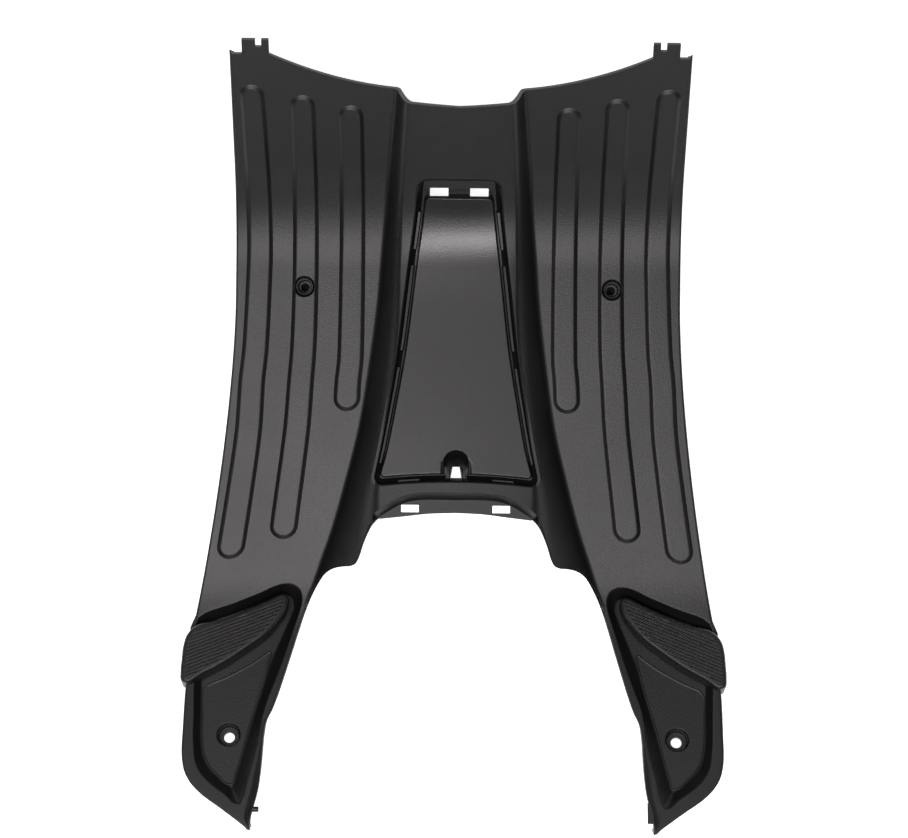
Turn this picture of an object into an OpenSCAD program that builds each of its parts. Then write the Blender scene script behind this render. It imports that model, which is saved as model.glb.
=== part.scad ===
// Step-through scooter floorboard: one moulding with two ribbed foot areas, a raised centre
// tunnel with the seat for a cover, and two tails that carry the passenger's ribbed foot pads.
// +Y is the front, +Z is up and the origin lies under the middle of the box on the ground.

/* [Overall] */
// Length from the front tab tips to the tail tips, seen from above
length = 562; // [520:1:600]
// Width over the two passenger pads
pads_w = 397; // [380:1:420]
// Width of the floor at its narrowest
floor_w = 327; // [315:1:340]
// How far each side of the floor flares out on its way to the pads
flare = 27; // [15:0.5:29]
// Wall of the moulding
wall = 3; // [2.5:0.1:3.5]

/* [Side profile] */
// Depth of the side skirts under the floor
skirt_h = 20; // [17:0.5:30]
// Distance from the front tab tips back to the start of the front bend
front_run = 157; // [150:1:165]
// Radius of the front bend
front_bend_r = 120; // [110:1:130]
// Slope of the front where it rises to the leg shield
front_angle = 38; // [34:0.5:42]
// Distance from the tail tips forward to the start of the tail bend
tail_run = 181; // [175:1:188]
// Radius of the tail bend
tail_bend_r = 140; // [120:1:150]
// Slope of the tails
tail_angle = 20; // [17:0.5:22]

/* [Tunnel] */
// Height of the tunnel over the floor at the front edge
tunnel_front_h = 18; // [15:0.5:22]
// Height of the tunnel over the floor at its rear end
tunnel_rear_h = 47; // [42:0.5:50]
// Extra height of the tunnel's top in the middle
tunnel_crown = 2; // [1:0.1:3]
// Radius of the shoulders between the tunnel's top and its sides
shoulder_r = 4; // [3:0.1:6]
// Drop of the step behind the rear ridge down to the clip flange
flange_drop = 7; // [5:0.5:9]

/* [Cover seat] */
// Depth of the seat's groove under the tunnel's top
seat_depth = 9; // [7:0.5:11]
// Height of the middle panel over the groove
panel_h = 5; // [3:0.5:6]
// Width of the two clip slots at the front of the seat
slot_w = 13.4; // [10:0.1:15]
// Length of the clip slots
slot_l = 6; // [4.5:0.1:7]
// Distance of the clip slots from the middle
slot_x = 14.6; // [12:0.1:17]
// Width of the lock well in the rear of the panel
well_w = 17.5; // [14:0.1:20]
// Length of the lock well
well_l = 21; // [18:0.5:24]
// Depth of the lock well under the panel
well_depth = 15; // [8:0.5:16]
// Width of the keyhole in the lock well
key_w = 8; // [5:0.1:10]
// Height of the ledge along the sides of the groove
ledge_h = 3; // [1:0.5:4]
// Width of the gutter between the ledge and the panel
gutter_w = 1.8; // [1:0.1:2.2]

/* [Foot ribs] */
// Width of a foot rib at its foot, at the rear of the floor
rib_w = 20.3; // [17.3:0.1:21]
// Width of a foot rib at its foot, at the front
rib_front_w = 17.2; // [15:0.1:17.2]
// Height of a foot rib
rib_h = 1.8; // [1:0.1:3]
// Width of the sloped side of a foot rib
rib_slope = 2.2; // [1:0.1:3]

/* [Floor screws] */
// Distance of the floor screws from the middle
screw_x = 113; // [108:0.5:118]
// Distance of the floor screws behind the start of the front bend
screw_back = 13.5; // [10:0.5:24]
// Radius of the floor screw holes
screw_r = 3; // [2:0.1:4]
// Radius of the collar seat round a floor screw
screw_seat_r = 4.6; // [4.2:0.1:6]
// Radius of the shallow ring round a floor screw
screw_ring_r = 6.2; // [6.1:0.1:7.5]

/* [Tails] */
// Depth of the recess in a tail
tail_depth = 8; // [6:0.5:9]
// Height of the passenger's pad over the tail
pad_h = 8; // [5:0.5:11]
// Pitch of the fine ribs on the passenger's pad
pad_pitch = 2.4; // [2:0.1:4]
// Height of the fine ribs on the passenger's pad
pad_rib_h = 0.8; // [0.5:0.1:1.5]
// Radius of the tail screw hole
tail_hole_r = 4; // [3:0.1:4.5]
// Radius of the counterbore for the tail screw's head
tail_head_r = 7.8; // [6:0.1:9]
// Depth of the counterbore under the tail's panel
tail_head_depth = 8; // [5:0.5:9]

/* [Edges] */
// Depth of the lip under the front edge and along the inner edges of the tails
lip_h = 9; // [6:0.5:12]
// How far the front edge runs forward from beside the tunnel to the tabs
edge_rise = 27; // [24:0.5:30]
// Length of the two slotted tabs past the front edge
tab_l = 11.7; // [9:0.1:14]
// Width of the slots in the front tabs
tab_slot_w = 4.3; // [3:0.1:5]
// Length of the locating peg on the left tail
peg_l = 4.5; // [3:0.1:6]
// Radius of the locating peg
peg_r = 2; // [1.5:0.1:2.5]

/* [Hidden] */
$fn = 48;
// Overrun of every cut past the solid that it cuts
over = 1;
// Steps along each bend
bend_steps = 8;
half_l = length / 2;
half_w = pads_w / 2;
floor_hw = floor_w / 2;
// How far one solid sinks into the next so that they join
sink = wall / 2;

// The floor's own line runs from the tail tips up to the front tabs. A place on it is a length
// s, counted from the start of the tail bend forward. at(s) gives y, z and the slope there.
bend_y = half_l - front_run;
tail_y = tail_run - half_l;
flat_l = bend_y - tail_y;
front_arc = front_bend_r * front_angle * PI / 180;
tail_arc = tail_bend_r * tail_angle * PI / 180;
tip_run = front_run - wall * sin(front_angle) - front_bend_r * sin(front_angle);
tip_s = flat_l + front_arc + tip_run / cos(front_angle);
edge_s = tip_s - tab_l - edge_rise;
tail_s = -tail_arc - (tail_run - tail_bend_r * sin(tail_angle)) / cos(tail_angle);
function at(s) =
    s > flat_l + front_arc ?
        let (d = s - flat_l - front_arc)
        [bend_y + front_bend_r * sin(front_angle) + d * cos(front_angle),
         skirt_h + front_bend_r * (1 - cos(front_angle)) + d * sin(front_angle), front_angle] :
    s > flat_l ?
        let (a = (s - flat_l) / front_bend_r * 180 / PI)
        [bend_y + front_bend_r * sin(a), skirt_h + front_bend_r * (1 - cos(a)), a] :
    s >= 0 ? [tail_y + s, skirt_h, 0] :
    s > -tail_arc ?
        let (a = s / tail_bend_r * 180 / PI)
        [tail_y + tail_bend_r * sin(a), skirt_h + tail_bend_r * (1 - cos(a)), a] :
    let (d = s + tail_arc)
    [tail_y - tail_bend_r * sin(tail_angle) + d * cos(tail_angle),
     skirt_h + tail_bend_r * (1 - cos(tail_angle)) - d * sin(tail_angle), -tail_angle];
// A point x from the middle, at s along the floor's line and h square off the floor
function spot(x, s, h) = let (p = at(s)) [x, p[0] - h * sin(p[2]), p[1] + h * cos(p[2])];

// Smooth value of a table of [place, value] rows
function row(tab, s, i = 0) = i >= len(tab) - 2 || s <= tab[i + 1][0] ? i : row(tab, s, i + 1);
function lean(tab, i) =
    let (a = tab[max(i - 1, 0)], b = tab[min(i + 1, len(tab) - 1)]) (b[1] - a[1]) / (b[0] - a[0]);
function value(tab, s) =
    let (i = row(tab, s), a = tab[i], b = tab[i + 1], d = b[0] - a[0], t = (s - a[0]) / d)
    a[1] * (1 + 2 * t) * (1 - t) * (1 - t) + lean(tab, i) * d * t * (1 - t) * (1 - t)
    + b[1] * t * t * (3 - 2 * t) - lean(tab, i + 1) * d * t * t * (1 - t);
function mix(a, b, t) = a + (b - a) * t;
function reverse(list) = [for (i = [len(list) - 1 : -1 : 0]) list[i]];
function scaled(shares, kx, ky) = [for (p = shares) [p[0] * kx, p[1] * ky]];

// Solid through a row of rings with as many points each, closed at both ends. Seen from before
// the first ring, the rings run against the clock.
module loft(rings) {
    n = len(rings[0]);
    m = len(rings);
    polyhedron(
        points = [for (r = rings) each r],
        faces = concat(
            [[for (i = [n - 1 : -1 : 0]) i]],
            [for (j = [0 : m - 2], i = [0 : n - 1])
                let (k = (i + 1) % n) each [
                    [j * n + i, (j + 1) * n + k, (j + 1) * n + i],
                    [j * n + i, j * n + k, (j + 1) * n + k]]],
            [[for (i = [0 : n - 1]) (m - 1) * n + i]]),
        convexity = 10);
}

// Plan of the sides: straight along the front, then flaring towards the pads
flare_y_share = 0.355;
flare_end_share = -0.482;
flare_y = flare_y_share * half_l;
flare_end = flare_end_share * half_l;
flare_power = 1.62;
function side_x(y) =
    floor_hw + flare * pow(max(flare_y - y, 0) / (flare_y - flare_end), flare_power);
side_steps = 14;
// How far short of the tab tips the skirts end, seen from above
skirt_end = 8.2;
tab_x_shares = [0.828, 0.860, 0.945];
tab_in = tab_x_shares[0] * floor_hw;
tab_mid = tab_x_shares[1] * floor_hw;
tab_out = tab_x_shares[2] * floor_hw;
// The skirts start outside this distance from the middle at the front, clear of the tabs
tab_clear = (tab_out + floor_hw - wall) / 2;
side = concat([[tab_clear, half_l + over], [tab_clear, half_l - skirt_end],
    [side_x(half_l), half_l - skirt_end]],
    [for (i = [0 : side_steps]) let (y = mix(flare_y, flare_end, i / side_steps)) [side_x(y), y]]);
tail_side_shares = [
    [0.974, -0.571], [0.983, -0.657], [0.986, -0.751], [0.985, -0.826], [0.977, -0.854],
    [0.957, -0.881], [0.919, -0.909], [0.846, -0.944], [0.730, -1.000]];
// Inner edge from the tail tip forward to the corner beside the clip flange
inner_edge_shares = [
    [0.727, -0.975], [0.717, -0.944], [0.704, -0.905], [0.696, -0.858], [0.692, -0.815],
    [0.688, -0.769], [0.680, -0.733], [0.661, -0.705], [0.645, -0.674], [0.623, -0.625],
    [0.597, -0.564], [0.572, -0.504], [0.554, -0.463], [0.525, -0.411], [0.502, -0.380],
    [0.482, -0.359], [0.458, -0.345], [0.436, -0.338], [0.407, -0.333], [0.380, -0.330],
    [0.360, -0.322], [0.349, -0.307], [0.335, -0.276], [0.317, -0.244], [0.300, -0.222],
    [0.281, -0.207]];
flange_edge_shares = [[0.272, -0.207], [0.197, -0.201], [0.101, -0.193], [0.000, -0.190]];
half_plan = concat(side, scaled(tail_side_shares, half_w, half_l),
    scaled(inner_edge_shares, half_w, half_l), scaled(flange_edge_shares, half_w, half_l));
plan = concat(half_plan, [for (p = reverse(half_plan)) if (p[0] > 0) [-p[0], p[1]]]);
tip_x = tail_side_shares[8][0] * half_w;

// Sheet that follows the floor's line between two heights
sheet_s = concat([tail_s - skirt_h],
    [for (i = [0 : bend_steps]) -tail_arc * (1 - i / bend_steps)],
    [for (i = [0 : bend_steps]) flat_l + front_arc * i / bend_steps], [tip_s + skirt_h]);
module sheet(low, high) {
    line = concat([for (s = sheet_s) spot(0, s, high)], [for (s = reverse(sheet_s)) spot(0, s, low)]);
    rotate([90, 0, 90])
        linear_extrude(pads_w + 2 * over, center = true) polygon([for (p = line) [p[1], p[2]]]);
}
module plan_block() linear_extrude(2 * half_l) polygon(plan);

module skin() sheet(-wall, 0);
// Wall round the plan's edge between two zones: the deep skirts outside, the lips inside
module edge_wall() difference() {
    polygon(plan);
    offset(delta = -wall) polygon(plan);
}
module inside_zone(more) translate([-tip_x, -half_l - more]) square([2 * tip_x, half_l + more]);
module front_zone() translate([-tab_clear - over, 0]) square([2 * (tab_clear + over), half_l + 2 * over]);
module skirts() {
    intersection() {
        sheet(-skirt_h, -sink);
        linear_extrude(half_l) difference() {
            edge_wall();
            inside_zone(over);
            front_zone();
        }
    }
    intersection() {
        sheet(-lip_h, -sink);
        linear_extrude(half_l) intersection() {
            edge_wall();
            inside_zone(over);
        }
    }
}

// Tunnel: its foot, shoulder and height along the floor's line
foot_shares = [
    [-0.082, 0.667], [-0.057, 0.660], [-0.023, 0.632], [0.023, 0.598], [0.092, 0.546],
    [0.182, 0.491], [0.288, 0.434], [0.389, 0.398], [0.538, 0.357], [0.628, 0.342],
    [0.717, 0.326], [0.796, 0.315], [0.954, 0.286], [1.114, 0.255]];
shoulder_shares = [
    [-0.082, 0.514], [-0.057, 0.477], [-0.023, 0.434], [0.023, 0.404], [0.092, 0.379],
    [0.182, 0.365], [0.288, 0.326], [0.465, 0.283], [0.628, 0.272], [0.796, 0.264],
    [1.000, 0.242], [1.114, 0.229]];
rise_shares = [
    [-0.082, 1.17], [0.023, 1.07], [0.092, 0.97], [0.182, 0.79], [0.288, 0.62], [0.538, 0.17],
    [0.628, 0.07], [0.796, 0], [1.114, 0]];
function foot_x(s) = value(foot_shares, s / edge_s) * floor_hw;
function shoulder_x(s) = value(shoulder_shares, s / edge_s) * floor_hw;
function tunnel_h(s) = mix(tunnel_front_h, tunnel_rear_h, value(rise_shares, s / edge_s));
// Where the tunnel starts and ends, as shares of the way to the front edge
tunnel_end_shares = [-0.08, 1.09];
tunnel_steps = 26;
tunnel_s = [for (i = [0 : tunnel_steps])
    mix(tunnel_end_shares[0], tunnel_end_shares[1], i / tunnel_steps) * edge_s];
// Half section of the tunnel, in by d from its outer face, from the foot to the crown
function half_section(s, d) =
    let (f = foot_x(s) - d, t = shoulder_x(s) - d, h = tunnel_h(s) - d, r = shoulder_r)
    [[f + d / 2, -sink - 4 * d], [f, 0], [mix(f, t, 1 - r / h), h - r], [t - 0.3 * r, h - 0.28 * r],
     [t - 1.1 * r, h], [t / 2, h + 0.75 * tunnel_crown]];
module tunnel_form(d, steps = tunnel_s) loft([for (s = steps)
    let (half = half_section(s, d))
    concat([for (p = half) spot(p[0], s, p[1])], [spot(0, s, tunnel_h(s) - d + tunnel_crown)],
        [for (p = reverse(half)) spot(-p[0], s, p[1])])]);

// Cover seat in the tunnel's top: rim, groove and middle panel
seat_rim_shares = [
    [0.179, 0.368], [0.288, 0.312], [0.467, 0.267], [0.628, 0.230], [0.774, 0.194], [0.826, 0.185]];
panel_shares = [
    [0.194, 0.339], [0.288, 0.283], [0.467, 0.234], [0.628, 0.197], [0.771, 0.163], [0.800, 0.160]];
seat_rear_s = seat_rim_shares[0][0] * edge_s;
seat_front_s = seat_rim_shares[5][0] * edge_s;
panel_rear_s = panel_shares[0][0] * edge_s;
panel_front_s = panel_shares[4][0] * edge_s;
function rim_x(s) = value(seat_rim_shares, s / edge_s) * floor_hw;
function panel_x(s) = value(panel_shares, s / edge_s) * floor_hw;
// Part of a corner's radius that is missing at a distance from the end
function corner(r, d) = d >= r ? 0 : r - sqrt(r * r - (r - d) * (r - d));
// Distances from an end, close together round the corner
function round_steps(r) = [0, 0.12 * r, 0.35 * r, 0.7 * r];
function long_steps(a, b, r, n) = concat([for (d = round_steps(r)) a + d],
    [for (i = [0 : n]) mix(a + r, b - r, i / n)], [for (d = reverse(round_steps(r))) b - d]);
// Radius of the seat's corners
seat_r = 8;
seat_steps = 12;
// Trough along the tunnel's top, drafted outward by draft from its floor up to its mouth
module trough(low, high, grow, draft) {
    s_all = long_steps(seat_rear_s, seat_front_s, seat_r, seat_steps);
    loft([for (s = s_all)
        let (t = (s - seat_rear_s) / (seat_front_s - seat_rear_s),
             miss = corner(seat_r, min(s - seat_rear_s, seat_front_s - s)),
             sb = mix(seat_rear_s + draft - grow, seat_front_s - 5 * draft + grow, t),
             st = mix(seat_rear_s - grow, seat_front_s + grow, t),
             x = rim_x(s) - miss + grow, h = tunnel_h(s))
        [spot(-x + draft, sb, h + low), spot(x - draft, sb, h + low), spot(x, st, h + high),
         spot(-x, st, h + high)]]);
}
// How far the seat's walls lean out from their foot up to the rim
seat_draft = 2;
module seat_tub() trough(-seat_depth - wall, 0, wall, seat_draft);
module seat_cut() trough(-seat_depth, 2 * wall, 0, seat_draft);
// Radius of the panel's corners, and how far its sides lean in
panel_r = 4;
panel_draft = 0.5;
module seat_panel() {
    s_all = long_steps(panel_rear_s, panel_front_s, panel_r, seat_steps);
    loft([for (s = s_all)
        let (x = panel_x(s) - corner(panel_r, min(s - panel_rear_s, panel_front_s - s)),
             h = tunnel_h(s) - seat_depth)
        [spot(-x, s, h - sink), spot(x, s, h - sink), spot(x - panel_draft, s, h + panel_h),
         spot(-x + panel_draft, s, h + panel_h)]]);
}
// Ledge along the groove's outer wall, with a gap at each clip of the cover
ledge_shares = [[0.234, 0.412], [0.446, 0.616], [0.652, 0.736]];
ledge_steps = 4;
module ledge(part_shares) loft([for (i = [0 : ledge_steps])
    let (s = mix(part_shares[0], part_shares[1], i / ledge_steps) * edge_s,
         h = tunnel_h(s) - seat_depth, a = panel_x(s) + gutter_w, b = rim_x(s))
    [spot(a, s, h - sink), spot(b, s, h - sink), spot(b, s, h + ledge_h), spot(a, s, h + ledge_h)]]);
// Short ledges behind the panel, between the cover's rear clips
rear_ledge_shares = [0.160, 0.255];
rear_ledge_l = 4;
module rear_ledge() translate([rear_ledge_shares[0] * floor_hw, at(seat_rear_s)[0],
    skirt_h + tunnel_h(seat_rear_s) - seat_depth - sink])
    cube([(rear_ledge_shares[1] - rear_ledge_shares[0]) * floor_hw, rear_ledge_l, sink + ledge_h]);
module ledges() {
    both() for (part_shares = ledge_shares) ledge(part_shares);
    both() rear_ledge();
}
// Lock well in the rear of the panel, with the keyhole through its floor
well_y = at(panel_rear_s)[0];
well_top = skirt_h + tunnel_h(panel_rear_s + well_l / 2) - seat_depth + panel_h;
module well(grow, low, high) translate([0, well_y, low]) linear_extrude(high - low) union() {
    translate([0, well_l - well_w / 2]) circle(well_w / 2 + grow);
    translate([-well_w / 2 - grow, -grow]) square([well_w + 2 * grow, well_l - well_w / 2 + grow]);
}
module well_tub() well(wall, well_top - well_depth - wall, well_top - sink);
module well_cut() {
    well(0, well_top - well_depth, well_top + 2 * wall);
    translate([-key_w / 2, well_y, well_top - well_depth - 2 * wall])
        cube([key_w, key_w, 3 * wall]);
}
// Clip slots at the front of the groove
slot_s = panel_front_s + slot_l / 2;
module slots() for (side = [-1, 1]) {
    p = spot(side * slot_x, slot_s, tunnel_h(slot_s) - seat_depth);
    translate(p) translate([-slot_w / 2, -slot_l / 2, -3 * wall])
        cube([slot_w, slot_l, 4 * wall]);
}

// Rear end of the tunnel: a rounded ridge, a step down and the flange with its two clip slots
ridge_shares = [[0, -0.140], [0.129, -0.141], [0.198, -0.152], [0.281, -0.186], [0.36, -0.215]];
step_draft_share = 0.55;
step_draft = step_draft_share * flange_drop;
function ridge_y(x) = value(ridge_shares, abs(x) / half_w) * half_l;
flange_hw_share = 0.30;
flange_end_share = -0.24;
flange_hw = flange_hw_share * half_w;
flange_end_y = flange_end_share * half_l;
// Clip slots in the flange, halfway between the riser and the flange's rear edge
flange_slot_share = 0.166;
flange_slot_x = flange_slot_share * half_w;
flange_slot_w = 12.8;
flange_slot_l = 5.4;
flange_slot_y = (ridge_y(flange_slot_x) - step_draft + flange_edge_shares[1][1] * half_l) / 2;
// The flange lies under the height that the tunnel has there
flange_s = flange_slot_y - tail_y;
step_cells = 12;
// Step behind the rear ridge, with the riser leaning back by step_draft
module step(grow, low, high) loft([for (i = [-step_cells : step_cells])
    let (x = i / step_cells * flange_hw, y = ridge_y(x) + grow, z = skirt_h + tunnel_h(flange_s))
    [[x, flange_end_y, z + low], [x, flange_end_y, z + high], [x, y, z + high],
     [x, y - step_draft, z + low]]]);
module flange_slots() for (side = [-1, 1])
    translate([side * flange_slot_x - flange_slot_w / 2, flange_slot_y - flange_slot_l / 2,
        skirt_h + tunnel_h(flange_s) - flange_drop - 2 * wall])
        cube([flange_slot_w, flange_slot_l, 4 * wall]);

// Front edge in the plane of the front slope, with the tabs and the skirts' own tips
front_knee_s = flat_l + front_arc - front_bend_r * tan(front_angle / 2);
front_knee_y = bend_y + front_bend_r * tan(front_angle / 2);
module on_front() translate([0, front_knee_y, skirt_h]) rotate([front_angle, 0, 0]) children();
edge_v = edge_s - front_knee_s;
tab_v = edge_v + edge_rise;
tip_v = tip_s - front_knee_s;
edge_corner_share = 0.275;
edge_corner_x = edge_corner_share * floor_hw;
edge_steps = 8;
// Share of the edge's rise that runs straight, the rest being a curve
edge_straight_share = 0.33;
function edge_at(x) = let (t = (x - edge_corner_x) / (tab_in - edge_corner_x))
    edge_v + edge_rise * mix(t * t, t, edge_straight_share);
// How far the edge dips in the middle, over the tunnel
edge_dip = 3;
plain_edge = concat([[0, edge_v - edge_dip], [edge_corner_x * 0.8, edge_v - edge_dip / 4]],
    [for (i = [0 : edge_steps]) let (x = mix(edge_corner_x, tab_in, i / edge_steps)) [x, edge_at(x)]]);
tabbed_edge = concat(plain_edge, [
    [tab_in, tip_v], [tab_mid, tip_v], [tab_mid, tab_v + tab_l / 2],
    [tab_mid + tab_slot_w, tab_v + tab_l / 2], [tab_mid + tab_slot_w, tip_v], [tab_out, tip_v],
    [tab_out, tab_v], [floor_hw - sink, tab_v]]);
module front_waste() for (side = [0, 1]) mirror([side, 0, 0]) on_front()
    translate([0, 0, -2 * skirt_h]) linear_extrude(2 * skirt_h + 2 * tunnel_front_h)
        polygon(concat(tabbed_edge, [[floor_hw - sink, tip_v + 3 * skirt_h],
            [-over, tip_v + 3 * skirt_h], [-over, edge_v - edge_dip]]));

// Long ribs on the foot areas: tables of place and distance from the middle
rib_paths = [
    [[0.027, 1.016], [0.048, 1.008], [0.176, 0.966], [0.285, 0.935], [0.385, 0.922],
     [0.447, 0.908], [0.583, 0.895], [0.664, 0.892], [0.931, 0.905], [1.005, 0.911]],
    [[0.068, 0.774], [0.092, 0.771], [0.285, 0.719], [0.385, 0.703], [0.448, 0.693],
     [0.556, 0.687], [0.664, 0.686], [0.983, 0.689]],
    [[0.325, 0.496], [0.349, 0.494], [0.385, 0.490], [0.434, 0.480], [0.664, 0.477],
     [0.961, 0.478]]];
rib_cells = 18;
module rib(path) {
    a = path[0][0] * edge_s;
    b = path[len(path) - 1][0] * edge_s;
    loft([for (s = long_steps(a, b, rib_w / 2, rib_cells))
        let (x = value(path, s / edge_s) * floor_hw, d = min(s - a, b - s),
             r = mix(rib_w, rib_front_w, s / edge_s) / 2,
             w = max(r - corner(r, d), 0.12 * r), up = max(min(d / rib_slope, 1), 0.1),
             t = max(w - rib_slope * max(up, 0.4), 0.06 * r))
        [spot(x - w, s, -sink), spot(x + w, s, -sink), spot(x + w, s, 0), spot(x + t, s, rib_h * up),
         spot(x - t, s, rib_h * up), spot(x - w, s, 0)]]);
}
module ribs() for (side = [0, 1], path = rib_paths) mirror([side, 0, 0]) rib(path);

// Floor screws: a shallow ring, a collar seat and the hole through a boss
screw_y = bend_y - screw_back;
boss_r = screw_ring_r + wall / 2;
ring_depth = 1.2;
seat_floor_share = 0.35;
seat_floor = seat_floor_share * skirt_h;
module screw_bosses() for (side = [-1, 1]) translate([side * screw_x, screw_y, over])
    cylinder(r = boss_r, h = skirt_h - over - sink);
module screw_cuts() for (side = [-1, 1]) translate([side * screw_x, screw_y, 0]) {
    translate([0, 0, -over]) cylinder(r = screw_r, h = skirt_h + 2 * over);
    translate([0, 0, seat_floor]) cylinder(r = screw_seat_r, h = skirt_h);
    translate([0, 0, skirt_h - ring_depth]) cylinder(r = screw_ring_r, h = skirt_h);
}

// Tails: everything stands square on the slope, in a frame at the slope's knee
tail_knee_y = tail_y - tail_bend_r * tan(tail_angle / 2);
tail_l = (half_l + tail_knee_y) / cos(tail_angle);
module on_tail() translate([0, tail_knee_y, skirt_h]) rotate([-tail_angle, 0, 0]) children();
recess_rim_shares = [
    [0.945, -0.058], [0.818, 0.007], [0.710, 0.059], [0.664, 0.084], [0.627, 0.095],
    [0.598, 0.092], [0.574, 0.073], [0.564, 0.043], [0.564, 0.017], [0.572, -0.024],
    [0.589, -0.088], [0.611, -0.175], [0.624, -0.243], [0.696, -0.550], [0.737, -0.754],
    [0.758, -0.861], [0.767, -0.884], [0.782, -0.884], [0.817, -0.849], [0.886, -0.787],
    [0.914, -0.751], [0.934, -0.704], [0.943, -0.638], [0.948, -0.477], [0.952, -0.271]];
recess_foot_shares = [
    [0.929, -0.084], [0.816, -0.019], [0.710, 0.033], [0.662, 0.057], [0.632, 0.065],
    [0.610, 0.060], [0.597, 0.045], [0.592, 0.021], [0.592, 0.000], [0.602, -0.036],
    [0.620, -0.093], [0.647, -0.175], [0.670, -0.243], [0.737, -0.550], [0.778, -0.747],
    [0.792, -0.801], [0.795, -0.809], [0.803, -0.813], [0.816, -0.802], [0.867, -0.754],
    [0.893, -0.722], [0.913, -0.677], [0.924, -0.615], [0.929, -0.477], [0.932, -0.271]];
pad_face_shares = [
    [0.960, -0.111], [0.972, -0.126], [0.985, -0.151], [0.993, -0.187], [0.998, -0.259],
    [1.000, -0.325], [0.997, -0.349], [0.985, -0.361], [0.916, -0.321], [0.844, -0.273],
    [0.752, -0.196], [0.698, -0.146], [0.649, -0.076], [0.626, -0.033], [0.616, 0.006],
    [0.614, 0.027], [0.618, 0.045], [0.630, 0.048], [0.685, 0.020], [0.757, -0.022],
    [0.852, -0.073]];
function on_plane(list, w) = [for (p = list) [p[0], p[1], w]];
rim_pts = scaled(recess_rim_shares, half_w, tail_l);
foot_pts = scaled(recess_foot_shares, half_w, tail_l);
// The recess is drafted up to just over the tail, and its rim goes on straight up from there
rim_lift = 0.5;
module recess_form() loft([on_plane(rim_pts, tail_depth), on_plane(rim_pts, rim_lift),
    on_plane(foot_pts, -tail_depth)]);
module recess_tub() translate([0, 0, -tail_depth - wall]) linear_extrude(2 * tail_depth + wall)
    offset(delta = wall) polygon(rim_pts);
// Shallow raised field on the floor of the recess, clear of the pad
field_shares = [
    [0.921, -0.366], [0.838, -0.311], [0.755, -0.255], [0.701, -0.209], [0.681, -0.192],
    [0.672, -0.200], [0.677, -0.243], [0.744, -0.550], [0.785, -0.747], [0.799, -0.795],
    [0.814, -0.795], [0.862, -0.748], [0.887, -0.716], [0.906, -0.673], [0.917, -0.612],
    [0.922, -0.477]];
// Height of the raised field
field_h = 0.6;
module field() translate([0, 0, -tail_depth - sink]) linear_extrude(sink + field_h)
    polygon(scaled(field_shares, half_w, tail_l));
module pad_form(grow, low, high)
    translate([0, 0, low]) linear_extrude(high - low)
        offset(delta = grow) polygon(scaled(pad_face_shares, half_w, tail_l));
// Direction of the pad's ribs, along the pad's front edge
pad_run_shares = [0.275, 0.133];
pad_turn = atan2(pad_run_shares[1] * tail_l, pad_run_shares[0] * half_w);
pad_lines = 14;
// Plain border round the ribbed face
pad_border = 2;
module pad_ribs() intersection() {
    pad_form(-pad_border, pad_h - sink, pad_h + pad_rib_h);
    translate([pad_face_shares[20][0] * half_w, pad_face_shares[20][1] * tail_l, pad_h])
        rotate([0, 0, -pad_turn])
            for (i = [1 : pad_lines]) translate([0, -i * pad_pitch, 0]) rotate([0, 90, 0])
                linear_extrude(half_w, center = true) polygon([
                    [sink, pad_pitch / 3], [-pad_rib_h, pad_pitch / 7], [-pad_rib_h, -pad_pitch / 7],
                    [sink, -pad_pitch / 3]]);
}
module pad_void() intersection() {
    on_tail() pad_form(-wall, -tail_depth - wall - over, pad_h - wall);
    linear_extrude(2 * half_l) offset(delta = -wall) polygon(plan);
}
tail_hole_shares = [0.820, -0.571];
tail_hole_x = tail_hole_shares[0] * half_w;
tail_hole_v = tail_hole_shares[1] * tail_l;
tail_boss_r = tail_head_r + wall;
head_floor = -tail_depth - tail_head_depth;
module tail_boss() translate([tail_hole_x, tail_hole_v, head_floor - wall])
    cylinder(r = tail_boss_r, h = tail_head_depth + wall + sink);
module tail_cut() translate([tail_hole_x, tail_hole_v, head_floor]) {
    translate([0, 0, -wall - over]) cylinder(r = tail_hole_r, h = wall + 2 * over);
    cylinder(r = tail_head_r, h = tail_depth + tail_head_depth);
}

// Locating peg on the left tail and flat clip on the right one, both on the inner edge
peg_shares = [0.722, -0.902];
peg_x = peg_shares[0] * half_w;
peg_v = peg_shares[1] * tail_l;
// Length, reach and thickness of the flat clip
clip_l = 15;
clip_reach = 3;
clip_t = 2;
module peg() on_tail() translate([-peg_x, peg_v, -lip_h / 2]) rotate([0, 90, 0])
    cylinder(r = peg_r, h = peg_l);
module clip() on_tail() translate([peg_x - clip_reach, peg_v - clip_l / 2, -lip_h / 2])
    cube([clip_reach + sink, clip_l, clip_t]);

// Webs under the foot areas
web_t = 2;
web_h = 9;
web_shares = [0.1, 0.3, 0.5];
module webs() for (share = web_shares)
    translate([-half_w, tail_y + share * edge_s, skirt_h - sink - web_h]) cube([pads_w, web_t, web_h]);

module both() for (side = [0, 1]) mirror([side, 0, 0]) children();

module shell() difference() {
    union() {
        skin();
        skirts();
        tunnel_form(0);
        webs();
    }
    tunnel_form(wall);
}
module seat_shell() intersection() {
    union() {
        seat_tub();
        well_tub();
        step(wall, -flange_drop - wall, wall);
    }
    tunnel_form(sink);
}
module tail_shell() intersection() {
    both() on_tail() {
        recess_tub();
        tail_boss();
    }
    sheet(-2 * skirt_h, -sink);
}
module pads() both() {
    difference() {
        on_tail() pad_form(0, -tail_depth - wall, pad_h);
        pad_void();
    }
    on_tail() pad_ribs();
}

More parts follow.
